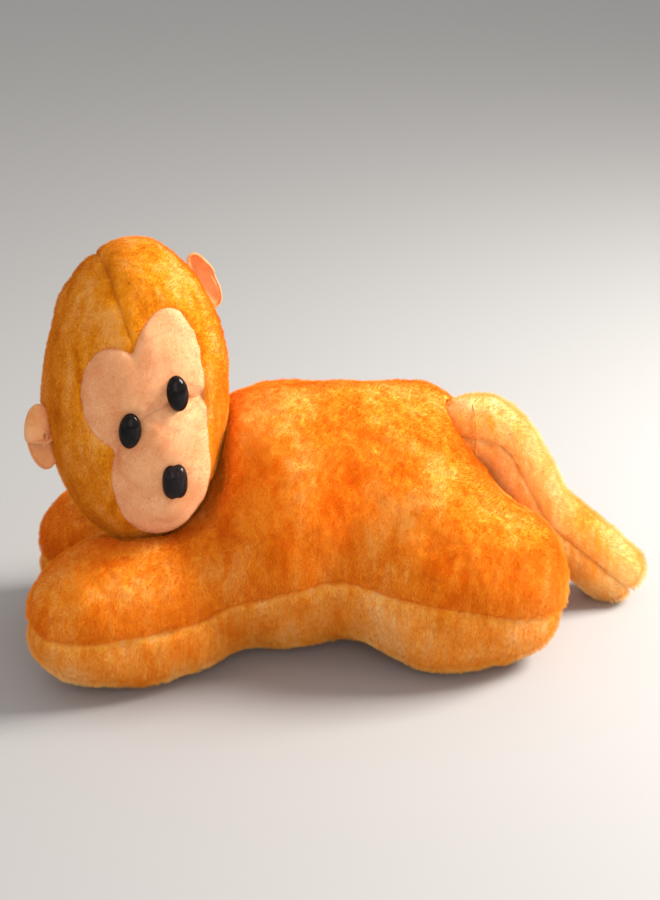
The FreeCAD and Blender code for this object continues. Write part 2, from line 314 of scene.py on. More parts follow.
def tail_form(rows):
    """A round bag along the tail's line, blunt at its end and flat on the floor."""
    nearest, _ = along_tail(rows)
    run = TAIL_POINTS[-1] - TAIL_POINTS[-2]
    past_end = (rows - TAIL_POINTS[-1]) @ (run / np.linalg.norm(run)) - TAIL_BLUNT
    form = carve(nearest - TAIL_RADIUS, past_end, TAIL_END_EDGE)
    return carve(form, FLOOR_GAP - rows[:, 2], TAIL_FLOOR_EDGE)


def tail_seam(rows):
    return along_tail(rows)[1]


def head_seat(rows):
    """The room that the head needs, with the muzzle's path as the head turns."""
    local = head_local(rows)
    room = ball(local, (0, 0, 0), HEAD_HALF + HEAD_GAP)
    for degrees in MUZZLE_STEPS:
        room = melt(room, ball(turned(local, -degrees), *MUZZLE) - HEAD_GAP, 0.004)
    return room


def trunk_form(rows):
    """Trunk, arms and legs as one bag, with room for the head and the tail."""
    drawn = rows - FOOTPRINT
    form = melt(ball(drawn, *SHOULDERS), ball(drawn, *WAIST), MELT)
    for swell in (HIPS, CHEST, TAIL_RIDGE):
        form = melt(form, ball(drawn, *swell), MELT)
    for leg in (LEG, LEG_FAR):
        form = melt(form, ball(drawn, *leg, power=BOXY), MELT)
    for arm, turn in ((ARM_NEAR, ARM_TURN), (ARM_FAR, -ARM_TURN)):
        form = melt(form, ball(drawn, *arm, turn, BOXY), ARM_MELT)
    form = carve(form, FLOOR_GAP - drawn[:, 2], FLOOR_EDGE)
    form = carve(form, -head_seat(rows), SEAT_EDGE)
    return carve(form, TAIL_GAP - tail_form(rows), TAIL_BED_EDGE)


def edge_seam(rows):
    """Height over the sewn edge that runs round the toy."""
    drawn = rows - FOOTPRINT
    stops, heights = zip(*SEAM_HEIGHTS)
    shifts = np.linspace(-SEAM_SOFTEN, SEAM_SOFTEN, 7)
    line = sum(np.interp(drawn[:, 0] + shift, stops, heights) for shift in shifts) / len(shifts)
    return drawn[:, 2] - line


def head_form(rows):
    local = head_local(rows)
    return melt(ball(local, (0, 0, 0), HEAD_HALF), ball(local, *MUZZLE), MUZZLE_MELT)


def oval(local, middle, half):
    """Distance to an oval in the head's front view."""
    flat = np.stack([local[:, 0], np.zeros(len(local)), local[:, 2]], -1)
    return ball(flat, (middle[0], 0.0, middle[1]), (half[0], 1.0, half[1]))


def face_seam(rows):
    """Negative inside the heart-shaped face."""
    local = head_local(rows)
    outline = melt(oval(local, *BROW_RIGHT), oval(local, *CHEEK), 0.006)
    outline = melt(outline, oval(local, *BROW_LEFT), 0.004)
    outline = melt(outline, oval(local, *CHIN), 0.006)
    return np.where(local[:, 1] < 0.0, outline, 0.03)


def muzzle_seam(rows):
    """Negative on the muzzle, which its seam parts from the mask in an arc under the eyes."""
    local = head_local(rows)
    return melt(oval(local, *MUZZLE_SEAM), local[:, 2] - MUZZLE_SIDES, 0.010)


def crown_seam(rows):
    """Negative on the left half of the hood. The seam rolls over the crown from the V of the face."""
    normal = np.array(CROWN_FACES)
    return head_local(rows) @ (normal / np.linalg.norm(normal))


# ---------------------------------------------------------------- meshes

def skin(form, low, high, cell):
    """Closed surface where form is zero, as points and triangles."""
    low = np.asarray(low)
    counts = np.ceil((np.asarray(high) - low) / cell).astype(int) + 1
    axes = [low[i] + cell * np.arange(counts[i]) for i in range(3)]
    rows = np.stack(np.meshgrid(*axes, indexing="ij"), -1).reshape(-1, 3)
    values = form(rows).reshape(counts).astype(np.float32)
    grid = openvdb.FloatGrid(float(cell * 4))
    grid.copyFromArray(values)
    points, quads = grid.convertToQuads(isovalue=0.0)
    points = low + points * cell
    quads = quads.astype(int)
    return points, np.concatenate([quads[:, [0, 1, 2]], quads[:, [0, 2, 3]]])


def summed(index, values, count):
    """Rows of values added up by index."""
    return np.stack([np.bincount(index, values[:, i], count) for i in range(values.shape[1])], -1)


def normals_of(points, triangles):
    corners = points[triangles]
    faces = np.cross(corners[:, 1] - corners[:, 0], corners[:, 2] - corners[:, 0])
    sums = summed(triangles.ravel(), np.repeat(faces, 3, axis=0), len(points))
    return sums / np.maximum(length(sums), 1e-15)[:, None]


def edges_of(triangles):
    """Every side of every triangle, with its direction kept."""
    return np.concatenate([triangles[:, [0, 1]], triangles[:, [1, 2]], triangles[:, [2, 0]]])


class Bag:
    """A closed form under way: where each point lies on the plain form, and where it lies now."""

    def __init__(self, form, low, high, cell):
        self.plain, self.triangles = skin(form, low, high, cell)
        self.points = self.plain.copy()
        self.normals = normals_of(self.plain, self.triangles)

    def push(self, distance):
        self.points = self.points + self.normals * distance[:, None]

    def cut(self, triangles, seam):
        """Moves points onto the seam, and returns the triangles above and below it."""
        level = seam(self.plain)
        start, end = np.unique(np.sort(edges_of(triangles), 1), axis=0).T
        crossing = level[start] * level[end] < 0
        start, end = start[crossing], end[crossing]
        share = level[start] / (level[start] - level[end])
        mover = np.where(share < 0.5, start, end)
        hits = np.bincount(mover, minlength=len(level))
        moved = hits > 0
        for rows in (self.plain, self.points):
            met = rows[start] + share[:, None] * (rows[end] - rows[start])
            rows[moved] = summed(mover, met, len(level))[moved] / hits[moved, None]
        level[moved] = 0.0
        above = level[triangles].sum(1) > 0
        return triangles[above], triangles[~above]


def piece(name, points, faces, groups=()):
    """A smooth mesh object. groups are names and weights, one weight for each point."""
    mesh = bpy.data.meshes.new(name)
    mesh.from_pydata(points.tolist(), [], [list(map(int, face)) for face in faces])
    mesh.polygons.foreach_set("use_smooth", [True] * len(mesh.polygons))
    mesh.update()
    made = bpy.data.objects.new(name, mesh)
    bpy.context.collection.objects.link(made)
    for label, weights in groups:
        group = made.vertex_groups.new(name=label)
        steps = np.round(np.clip(weights, 0.0, 1.0) * 10).astype(int)
        for step in range(1, 11):
            chosen = np.flatnonzero(steps == step)
            if len(chosen):
                group.add(chosen.tolist(), step / 10, "REPLACE")
    return made


def cover(name, bag, triangles, seams):
    """A sewn cover with the cloth's thickness. Its fur is short beside the seams."""
    used, small = np.unique(triangles, return_inverse=True)
    small = small.reshape(-1, 3)
    outer, normals = bag.points[used], bag.normals[used]
    inner = outer - normals * CLOTH
    sides = edges_of(small)
    keys = np.sort(sides, 1)
    _, first, counts = np.unique(keys, axis=0, return_index=True, return_counts=True)
    start, end = sides[first[counts == 1]].T
    count = len(used)
    rim = np.stack([end, start, start + count, end + count], -1)
    faces = [*small.tolist(), *(small[:, ::-1] + count).tolist(), *rim.tolist()]
    fur = np.concatenate([np.ones(count), np.zeros(count)])
    reach = np.ones(count)
    for seam, width in seams:
        reach = np.minimum(reach, 1.0 - 0.75 * bell(seam(bag.plain[used]), width))
    made = piece(name, np.concatenate([outer, inner]), faces, (("fur", fur), ("reach", np.tile(reach, 2))))
    made["skin_area"] = float(length(np.cross(outer[small[:, 1]] - outer[small[:, 0]],
                                              outer[small[:, 2]] - outer[small[:, 0]])).sum() / 2)
    return made


def drawn_in(level, rows, groove, seed):
    """A seam's groove, the wider dip beside it, and the gathers that its thread pulls."""
    depth, width = groove
    gathers = lumps(rows, GATHER_SIZE, seed) * bell(level, width * 3.0)
    return -depth * bell(level, width) - depth * 0.5 * bell(level, width * 3.5) + depth * 0.28 * gathers


# ---------------------------------------------------------------- stuffing

def filled_out(bag, form, low, high):
    """Fills out a coarse copy by cloth simulation, held at its sewn edge, and moves the bag likewise."""
    coarse = Bag(form, low, high, TRIAL_CELL)
    held = bell(np.abs(edge_seam(coarse.plain)), HELD_WIDTH)
    made = piece("trial_bag", coarse.points, coarse.triangles, (("held", held),))
    cloth = made.modifiers.new("stuffing", "CLOTH")
    cloth.settings.quality = 5
    cloth.settings.use_pressure = True
    cloth.settings.uniform_pressure_force = PRESSURE
    cloth.settings.vertex_group_mass = "held"
    cloth.settings.effector_weights.gravity = 0.0
    scene = bpy.context.scene
    for step in range(1, FILLING_STEPS + 1):
        scene.frame_set(step)
    result = made.evaluated_get(bpy.context.evaluated_depsgraph_get())
    after = np.array([vertex.co for vertex in result.data.vertices])
    moves = after - coarse.points
    size = length(moves)
    moves *= (np.minimum(size, MOST_SWELL) / np.maximum(size, 1e-9))[:, None]
    tree = KDTree(len(coarse.points))
    for index, point in enumerate(coarse.points):
        tree.insert(point, index)
    tree.balance()
    carried = np.zeros_like(bag.points)
    for row, point in enumerate(bag.points):
        found = tree.find_n(point, 5)
        weights = np.array([1.0 / (hit[2] + 0.001) for hit in found])
        carried[row] = weights @ moves[[hit[1] for hit in found]] / weights.sum()
    scene.frame_set(1)
    bpy.data.objects.remove(made)
    room = np.minimum(head_seat(bag.plain), tail_form(bag.plain) - TAIL_GAP)
    room = np.minimum(room, bag.plain[:, 2])
    bag.points = bag.points + carried * np.clip(room / SWELL_FADE, 0.0, 1.0)[:, None]


def filling(name, form, inset, low, high, body, node, material):
    """Fibre inside a bag, a little lumpy."""
    bag = Bag(lambda rows: form(rows) + inset, low, high, FILLING_CELL)
    bag.push(uneven(bag.plain, FIBRE_LUMPS))
    made = piece(name, bag.points, bag.triangles)
    finish_piece(made, body, "fibre_filling", [material], node)


# ---------------------------------------------------------------- pieces

def finish_piece(made, body, slot, materials, *nodes):
    """Gives a piece its materials and its body, and hides the nodes that it stands for. The slot is not used.
    """
    for material in materials:
        made.data.materials.append(material)
    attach(made, body)
    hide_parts(*nodes)


def make_trunk(looks):
    """Back and belly covers, sewn together round the toy, over one filling."""
    low = np.array([cad_low[0] - 0.01, cad_low[1] - 0.01, -0.01])
    high = np.array([FOOTPRINT[0] + 0.185, cad_high[1] + 0.01, 0.215])
    bag = Bag(trunk_form, low, high, TRUNK_CELL)
    filled_out(bag, trunk_form, low, high)
    level = edge_seam(bag.plain)
    drawn = bag.plain - FOOTPRINT
    side = np.clip((np.abs(drawn[:, 1]) - 0.035) / 0.02, 0.0, 1.0)
    armpit = drawn[:, 0] - ARMPIT_AT + ARMPIT_LEAN * (drawn[:, 2] - 0.08)
    hollow = bell(armpit, 0.010) * bell(drawn[:, 2] - 0.085, 0.045) * side
    bag.push(-ARMPIT_DEPTH * hollow)
    bag.push(np.full(len(level), -FUR_STANDS * BODY_FUR))
    bag.push(uneven(bag.plain, TRUNK_LUMPS))
    bag.push(drawn_in(level, bag.plain, EDGE_GROOVE, 3))
    bag.push(uneven(bag.plain, TRUNK_TUFTS))
    bag.points[:, 2] = np.maximum(bag.points[:, 2], FLOOR_GAP)
    above, below = bag.cut(bag.triangles, edge_seam)
    # The belly cover takes the pile that is painted lighter with light cast up from the floor.
    for name, triangles, look in (("back_cover", above, "pile"), ("belly_cover", below, "bounce_lit")):
        made = cover(name + "_pile", bag, triangles, ((edge_seam, 0.0035),))
        finish_piece(made, "torso", "plush_fur", looks[look], name)
        comb(made, "body", BODY_FUR, 11)
    filling("torso_filling_fibre", trunk_form, FILLING_INSET, low, high,
            "torso", "torso_filling", looks["fibre"])


def make_head(looks):
    """Two halves of the hood, the face mask and the muzzle, over one filling."""
    reach = np.array([0.085, 0.085, 0.122])
    low, high = NECK_AT - reach, NECK_AT + reach
    bag = Bag(head_form, low, high, HEAD_CELL)
    rows = bag.plain
    face, muzzle, crown = face_seam(rows), muzzle_seam(rows), crown_seam(rows)
    on_hood = 1.0 / (1.0 + np.exp(-face / 0.0006))
    above_face = (head_local(rows)[:, 2] > 0.040) | (head_local(rows)[:, 1] > 0.0)
    bag.push(uneven(rows, HEAD_LUMPS))
    bag.push(drawn_in(face, rows, FACE_GROOVE, 23) - FACE_NAP * FUR_STANDS)
    bag.push((FACE_NAP - HOOD_FUR) * FUR_STANDS * on_hood)
    bag.push(drawn_in(muzzle, rows, MUZZLE_GROOVE, 24) * (1.0 - on_hood))
    bag.push(drawn_in(crown, rows, CROWN_GROOVE, 25) * on_hood * above_face)
    bag.push(uneven(rows, HOOD_TUFTS) * on_hood)
    hood, inside = bag.cut(bag.triangles, face_seam)
    right, left = bag.cut(hood, crown_seam)
    mask, muzzle_part = bag.cut(inside, muzzle_seam)
    edges = ((face_seam, 0.0010), (crown_seam, 0.0018))
    for name, triangles in (("head_cover_left", left), ("head_cover_right", right)):
        made = cover(name + "_pile", bag, triangles, edges)
        # The hood's covers take the pile painted darker with shade.
        finish_piece(made, "head", "plush_fur", looks["hood"], name)
        comb(made, "hood", HOOD_FUR, 12)
    for name, triangles in (("face_mask", mask), ("muzzle_cover", muzzle_part)):
        made = cover(name + "_velour", bag, triangles, ((face_seam, 0.0012), (muzzle_seam, 0.0012)))
        finish_piece(made, "head", "face_velour", looks["face"], name)
        comb(made, "face", FACE_NAP, 13)
    filling("head_filling_fibre", head_form, FILLING_INSET + EAR_SUNK, low, high,
            "head", "head_filling", looks["fibre"])
    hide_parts("muzzle_filling")


def make_tail(looks):
    """Two long halves over a filling."""
    margin = TAIL_RADIUS + 0.008
    low, high = TAIL_POINTS.min(0) - margin, TAIL_POINTS.max(0) + margin
    bag = Bag(tail_form, low, high, TAIL_CELL)
    bag.push(uneven(bag.plain, TAIL_LUMPS))
    bag.push(drawn_in(tail_seam(bag.plain), bag.plain, TAIL_GROOVE, 33))
    bag.push(uneven(bag.plain, TAIL_TUFTS))
    bag.points[:, 2] = np.maximum(bag.points[:, 2], FLOOR_GAP)
    above, below = bag.cut(bag.triangles, tail_seam)
    for name, triangles in (("tail_cover_top", above), ("tail_cover_under", below)):
        made = cover(name + "_pile", bag, triangles, ((tail_seam, 0.0026),))
        # The tail's covers take the pile painted paler with the key lamp's light.
        finish_piece(made, "tail", "plush_fur", looks["tail"], name)
        comb(made, "tail", TAIL_FUR, 14)
    filling("tail_filling_fibre", tail_form, FILLING_INSET, low, high,
            "tail", "tail_filling", looks["fibre"])


def ear_sheet(side, front):
    """One cover of an ear: a cupped oval whose upper rim rolls forward into a hanging flap."""
    joint = JOINTS[f"ear_{side}_fold"]
    base = np.array(joint["pos_m"])
    up = np.array(joint["axis"])
    up = up if up[2] > 0 else -up
    low, high = (np.array(corner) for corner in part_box(f"ear_{side}_front"))
    out = (low + high) / 2 - base
    out -= (out @ up) * up
    out /= np.linalg.norm(out)
    ahead = np.cross(out, up)
    ahead = -ahead if ahead[1] > 0.0 else ahead
    ear = EARS[side]
    middle = base + out * (ear["reach"] - EAR_SUNK)
    full_turn = math.radians(ear["turn"])
    rings, spokes = 26, 72
    rows = []
    for ring in range(rings + 1):
        share = ring / rings
        for spoke in range(spokes):
            angle = 2 * math.pi * spoke / spokes
            away = math.cos(angle) * out + math.sin(angle) * up
            edge = 1.0 / math.hypot(math.cos(angle) / ear["reach"], math.sin(angle) / ear["half"])
            edge *= 1.0 + ear["point"] * math.exp(-((angle - math.pi / 2) / 0.30) ** 2)
            over = min(max((math.sin(angle) + 0.15) / 0.8, 0.0), 1.0)
            over = over * over * (3 - 2 * over)
            run = share * (edge + ear["flap"] * over)
            flat = edge - EAR_ROLL
            turn = min(max(run - flat, 0.0) / EAR_ROLL, 1.0 + (full_turn - 1.0) * over)
            rest = max(run - flat - turn * EAR_ROLL, 0.0)
            level = (EAR_PLUMP if front else -EAR_PLUMP) * (1.0 - share ** 4)
            reach = min(run, flat) + EAR_ROLL * math.sin(turn)
            reach = reach + rest * math.cos(turn) - level * math.sin(turn)
            depth = ear["cup"] * (min(run, flat) / edge) ** 2 + EAR_ROLL * (1.0 - math.cos(turn))
            depth += rest * math.sin(turn) + level * math.cos(turn)
            rows.append(middle + away * reach + ahead * depth)
    faces = []
    for ring in range(rings):
        for spoke in range(spokes):
            a = ring * spokes + spoke
            b = ring * spokes + (spoke + 1) % spokes
            faces.append((a, b, b + spokes, a + spokes))
    rows = np.array(rows)
    first = rows[list(faces[spokes * 2])]
    facing = np.cross(first[1] - first[0], first[3] - first[0]) @ ahead
    if (facing > 0) != front:
        faces = [face[::-1] for face in faces]
    return rows, faces


def make_ears(looks):
    """Front and back cover of each ear."""
    for side in ("left", "right"):
        for face_name, front in (("front", True), ("back", False)):
            points, faces = ear_sheet(side, front)
            node = f"ear_{side}_{face_name}"
            made = piece(node + "_cover", points, faces, (("fur", np.ones(len(points))),))
            made["skin_area"] = math.pi * EARS[side]["half"] * EARS[side]["reach"] * 1.8
            cloth = made.modifiers.new("cloth", "SOLIDIFY")
            cloth.thickness = EAR_PLUMP * 0.5
            finish_piece(made, f"ear_{side}", "ear_velour", looks["ear"], node)
            comb(made, "ear", FACE_NAP, 15)


def button(name, place, half, node, body, material, outline):
    """A domed button with a rolled edge, set on the head. outline gives the reach at an angle."""
    lon, lat, tilt = (math.radians(value) for value in place)
    toward = np.array([math.cos(lat) * math.sin(lon), -math.cos(lat) * math.cos(lon), math.sin(lat)])
    near, far = 0.5, 1.4
    for _ in range(40):
        middle = (near + far) / 2
        inside = head_form(head_world([toward * HEAD_HALF * middle]))[0] < 0
        near, far = (middle, far) if inside else (near, middle)
    local = toward * HEAD_HALF * near
    step = 0.004
    shifts = np.array([[step, 0, 0], [0, step, 0], [0, 0, step]])
    slope = head_form(head_world(local + shifts)) - head_form(head_world(local - shifts))
    normal = slope / np.linalg.norm(slope)
    side = np.cross(normal, [0.0, 0.0, 1.0])
    side /= -np.linalg.norm(side)
    up = np.cross(normal, side)
    side, up = (math.cos(tilt) * side + math.sin(tilt) * up,
                math.cos(tilt) * up - math.sin(tilt) * side)
    rings, spokes = 26, 72
    points = [local - normal * half[2] * 0.55]
    for ring in range(rings):
        rise = math.radians(BUTTON_UNDER + BUTTON_SWEEP * ring / (rings - 1))
        groove = math.exp(-((rise - 0.20) / 0.06) ** 2)
        reach = math.cos(rise) ** 0.85 if rise > 0 else math.cos(rise) ** 1.5
        reach -= 0.022 * groove
        lift = math.sin(rise) - 0.020 * groove
        for spoke in range(spokes):
            angle = 2 * math.pi * spoke / spokes
            round_it = outline(angle) if rise < 1.2 else 1.0
            across = side * half[0] * math.cos(angle) + up * half[1] * math.sin(angle)
            points.append(local + across * reach * round_it + normal * half[2] * lift)
    points.append(local + normal * half[2])
    faces = []
    last = len(points) - 1
    for spoke in range(spokes):
        after = (spoke + 1) % spokes
        faces.append((0, 1 + after, 1 + spoke))
        top = 1 + (rings - 1) * spokes
        faces.append((top + spoke, top + after, last))
        for ring in range(rings - 1):
            a = 1 + ring * spokes
            faces.append((a + spoke, a + after, a + spokes + after, a + spokes + spoke))
    made = piece(name, head_world(np.array(points)), faces)
    fine = made.modifiers.new("fine", "SUBSURF")
    fine.levels = fine.render_levels = 1
    finish_piece(made, body, material[0], [material[1]], node)


def round_outline(angle):
    return 1.0


def nose_outline(angle):
    """Squarish, with a small dip above and below."""
    fullness = 2.6
    square = (abs(math.cos(angle)) ** fullness + abs(math.sin(angle)) ** fullness) ** (-1 / fullness)
    dips = 0.0
    for at in (math.pi / 2, -math.pi / 2):
        dips += math.exp(-(math.remainder(angle - at, 2 * math.pi) / 0.24) ** 2)
    return square * 0.96 - 0.07 * dips


# ---------------------------------------------------------------- fur

def comb(made, fur, reach, seed):
    """Grows short strands from the outside of a cover, leaning by a share of their length."""
    made.modifiers.new("fur", "PARTICLE_SYSTEM")
    system = made.particle_systems[-1]
    system.seed = seed
    system.vertex_group_density = "fur"
    if "reach" in made.vertex_groups:
        system.vertex_group_length = "reach"
    settings = system.settings
    area = made.get("skin_area", 0.002)
    settings.type = "HAIR"
    settings.count = max(200, int(area * 1e6 * STRANDS_PER_MM[fur] / STRANDS_PER_TUFT))
    settings.hair_step = 3
    settings.display_step = 2
    settings.render_step = 2
    settings.use_advanced_hair = True
    settings.emit_from = "FACE"
    settings.normal_factor = reach * 0.85 / 4
    settings.object_align_factor = [share * reach / 4 for share in LEANS[fur]]
    settings.factor_random = reach * 0.20 / 4
    settings.child_type = "INTERPOLATED"
    settings.child_percent = 1
    settings.rendered_child_count = STRANDS_PER_TUFT
    settings.clump_factor = 0.12
    settings.roughness_2 = reach * 0.07
    settings.roughness_endpoint = reach * 0.05
    settings.child_length = 1.0
    settings.root_radius = 1.0
    settings.tip_radius = 0.35
    settings.radius_scale = STRAND
    settings.material = 2


# ---------------------------------------------------------------- materials

def new_group(name, inputs, outputs):
    """A shader node group with named sockets. An input is a label, a kind and its plain value."""
    tree = bpy.data.node_groups.new(name, "ShaderNodeTree")
    for label, kind, value in inputs:
        tree.interface.new_socket(label, in_out="INPUT", socket_type=kind).default_value = value
    for label, kind in outputs:
        tree.interface.new_socket(label, in_out="OUTPUT", socket_type=kind)
    return tree, tree.nodes.new("NodeGroupInput"), tree.nodes.new("NodeGroupOutput")


def noise(tree, coordinates, scale, detail, stretch=None, distortion=0.0):
    made = tree.nodes.new("ShaderNodeTexNoise")
    made.inputs["Detail"].default_value = detail
    made.inputs["Distortion"].default_value = distortion
    if isinstance(scale, float):
        made.inputs["Scale"].default_value = scale
    else:
        tree.links.new(scale, made.inputs["Scale"])
    if stretch:
        mapping = tree.nodes.new("ShaderNodeMapping")
        mapping.inputs["Scale"].default_value = stretch
        tree.links.new(coordinates, mapping.inputs["Vector"])
        coordinates = mapping.outputs["Vector"]
    tree.links.new(coordinates, made.inputs["Vector"])
    return made.outputs["Fac"]


def sums(tree, operation, first, second):
    """A math node on two values or sockets."""
    made = tree.nodes.new("ShaderNodeMath")
    made.operation = operation
    for socket, value in zip(made.inputs, (first, second)):
        if isinstance(value, (int, float)):
            socket.default_value = value
        else:
            tree.links.new(value, socket)
    return made.outputs[0]


def stepped(tree, value, low, high):
    """0 below low, 1 above high, smooth between."""
    made = tree.nodes.new("ShaderNodeMapRange")
    made.interpolation_type = "SMOOTHSTEP"
    made.inputs["From Min"].default_value = low
    made.inputs["From Max"].default_value = high
    tree.links.new(value, made.inputs["Value"])
    return made.outputs["Result"]


def blended(tree, share, first, second):
    """The first colour where share is 0, and the second where it is 1."""
    made = tree.nodes.new("ShaderNodeMix")
    made.data_type = "RGBA"
    factor, color_a, color_b = made.inputs["Factor"], made.inputs[6], made.inputs[7]
    for socket, value in ((factor, share), (color_a, first), (color_b, second)):
        if isinstance(value, tuple):
            socket.default_value = value
        else:
            tree.links.new(value, socket)
    return made.outputs[2]


def nap_patches():
    """Random patches of the nap, pale where it is stroked one way and deep where it opens: partly the pile's
    own tone, partly painted sheen on the stroked nap and painted shade in the opened pile.
    """
    tree, start, end = new_group(
        "nap_patches",
        (("Lit", "NodeSocketColor", (1, 0.6, 0.2, 1)), ("Middle", "NodeSocketColor", (0.9, 0.3, 0.05, 1)),
         ("Deep", "NodeSocketColor", (0.5, 0.1, 0.01, 1)), ("Patches", "NodeSocketFloat", 34.0)),
        (("Color", "NodeSocketColor"), ("Height", "NodeSocketFloat")),
    )
    place = tree.nodes.new("ShaderNodeTexCoord").outputs["Object"]
    wide = noise(tree, place, start.outputs["Patches"], 2.0, (1.0, 1.0, 0.5), 0.3)
    combed = noise(tree, place, 150.0, 3.0, (1.0, 1.0, 0.28))
    strands = noise(tree, place, 900.0, 2.0, (1.0, 1.0, 0.35))
    value = sums(tree, "ADD", sums(tree, "MULTIPLY", wide, 0.50), sums(tree, "MULTIPLY", combed, 0.30))
    value = sums(tree, "ADD", value, sums(tree, "MULTIPLY", strands, 0.20))
    # Deep, Middle and Lit by the patches: the Lit tone stands partly for painted sheen, the Deep tone partly
    # for painted shade.
    color = blended(tree, stepped(tree, value, 0.38, 0.50), start.outputs["Deep"], start.outputs["Middle"])
    color = blended(tree, stepped(tree, value, 0.49, 0.62), color, start.outputs["Lit"])
    tree.links.new(color, end.inputs["Color"])
    tree.links.new(sums(tree, "ADD", strands, combed), end.inputs["Height"])
    return tree


def close_nap():
    """Velour's even nap: fine grain with faint brushed clouds."""
    tree, start, end = new_group(
        "close_nap",
        (("Lit", "NodeSocketColor", (1, 0.7, 0.5, 1)), ("Deep", "NodeSocketColor", (0.8, 0.4, 0.2, 1)),
         ("Grain", "NodeSocketFloat", 1400.0)),
        (("Color", "NodeSocketColor"), ("Height", "NodeSocketFloat")),
    )
    place = tree.nodes.new("ShaderNodeTexCoord").outputs["Object"]
    clouds = noise(tree, place, 60.0, 3.0, None, 0.4)
    grain = noise(tree, place, start.outputs["Grain"], 2.0)
    value = sums(tree, "ADD", sums(tree, "MULTIPLY", clouds, 0.6), sums(tree, "MULTIPLY", grain, 0.4))
    color = blended(tree, stepped(tree, value, 0.36, 0.62), start.outputs["Deep"], start.outputs["Lit"])
    tree.links.new(color, end.inputs["Color"])
    tree.links.new(grain, end.inputs["Height"])
    return tree


def wear():
    """Faint rubbed clouds on something smooth: a tint and a roughness."""
    tree, start, end = new_group(
        "wear",
        (("Color", "NodeSocketColor", (0.1, 0.1, 0.1, 1)), ("Rubbed", "NodeSocketColor", (0.2, 0.2, 0.2, 1)),
         ("Smooth", "NodeSocketFloat", 0.08), ("Rough", "NodeSocketFloat", 0.2)),
        (("Color", "NodeSocketColor"), ("Roughness", "NodeSocketFloat"), ("Height", "NodeSocketFloat")),
    )
    place = tree.nodes.new("ShaderNodeTexCoord").outputs["Object"]
    clouds = noise(tree, place, 240.0, 4.0)
    share = stepped(tree, clouds, 0.40, 0.72)
    tree.links.new(blended(tree, share, start.outputs["Color"], start.outputs["Rubbed"]), end.inputs["Color"])
    spread = sums(tree, "SUBTRACT", start.outputs["Rough"], start.outputs["Smooth"])
    rough = sums(tree, "ADD", start.outputs["Smooth"], sums(tree, "MULTIPLY", spread, share))
    tree.links.new(rough, end.inputs["Roughness"])
    tree.links.new(noise(tree, place, 700.0, 2.0), end.inputs["Height"])
    return tree


def placed(material, group, values):
    """The group in a material's tree, with its own values."""
    made = material.node_tree.nodes.new("ShaderNodeGroup")
    made.node_tree = group
    for label, value in values.items():
        made.inputs[label].default_value = value
    return made


def new_material(name, roughness, sheen=0.0, sheen_tint=(1, 1, 1, 1), specular=0.5,
                 specular_tint=(1, 1, 1, 1)):
    material = bpy.data.materials.new(name)
    material.use_nodes = True
    shader = material.node_tree.nodes["Principled BSDF"]
    shader.inputs["Roughness"].default_value = roughness
    shader.inputs["Sheen Weight"].default_value = sheen
    shader.inputs["Sheen Roughness"].default_value = 0.45
    shader.inputs["Sheen Tint"].default_value = sheen_tint
    shader.inputs["Specular IOR Level"].default_value = specular
    shader.inputs["Specular Tint"].default_value = specular_tint
    return material, shader


def raised(material, shader, height, strength, distance):
    """Bumps the surface by a height between 0 and 1."""
    bump = material.node_tree.nodes.new("ShaderNodeBump")
    bump.inputs["Strength"].default_value = strength
    bump.inputs["Distance"].default_value = distance
    material.node_tree.links.new(height, bump.inputs["Height"])
    material.node_tree.links.new(bump.outputs["Normal"], shader.inputs["Normal"])


def pile_fabric(name, group, colors):
    """The pile as one skin: patchy colour and a combed surface."""
    material, shader = new_material(name, 0.85, 0.20, WARM_SHEEN, 0.1, WARM_GLINT)
    made = placed(material, group, colors)
    material.node_tree.links.new(made.outputs["Color"], shader.inputs["Base Color"])
    raised(material, shader, made.outputs["Height"], 0.7, 0.0012)
    return material


def strands(name, group, colors, root):
    """Single strands: the skin's colour, darkened towards the root by painted shade deep in the pile, no two
    alike.
    """
    material, shader = new_material(name, 0.65, 0.12, WARM_SHEEN, 0.1, WARM_GLINT)
    tree = material.node_tree
    made = placed(material, group, colors)
    hair = tree.nodes.new("ShaderNodeHairInfo")
    # Painted shade: the root colour, where the strands stand deep in the pile, runs out to the skin's colour
    # by three quarters of the strand.
    tip = stepped(tree, hair.outputs["Intercept"], 0.0, 0.75)
    color = blended(tree, tip, root, made.outputs["Color"])
    shade = tree.nodes.new("ShaderNodeHueSaturation")
    value = tree.nodes.new("ShaderNodeMapRange")
    value.inputs["To Min"].default_value = 0.90
    value.inputs["To Max"].default_value = 1.10
    tree.links.new(hair.outputs["Random"], value.inputs["Value"])
    tree.links.new(value.outputs["Result"], shade.inputs["Value"])
    tree.links.new(color, shade.inputs["Color"])
    tree.links.new(shade.outputs["Color"], shader.inputs["Base Color"])
    return material


def glossy(name, group, values):
    """Moulded plastic, faintly rubbed."""
    material, shader = new_material(name, 0.1, specular=0.10)
    shader.inputs["Coat Weight"].default_value = 0.12
    shader.inputs["Coat Roughness"].default_value = 0.03
    made = placed(material, group, values)
    material.node_tree.links.new(made.outputs["Color"], shader.inputs["Base Color"])
    material.node_tree.links.new(made.outputs["Roughness"], shader.inputs["Roughness"])
    raised(material, shader, made.outputs["Height"], 0.05, 0.0002)
    return material


def plain_nap(name, group, values, sheen):
    """Velour, wadding or thread, as one skin."""
    material, shader = new_material(name, 0.9, sheen, (1.0, 0.85, 0.7, 1), 0.15)
    made = placed(material, group, values)
    material.node_tree.links.new(made.outputs["Color"], shader.inputs["Base Color"])
    raised(material, shader, made.outputs["Height"], 0.5, 0.0004)
    return material


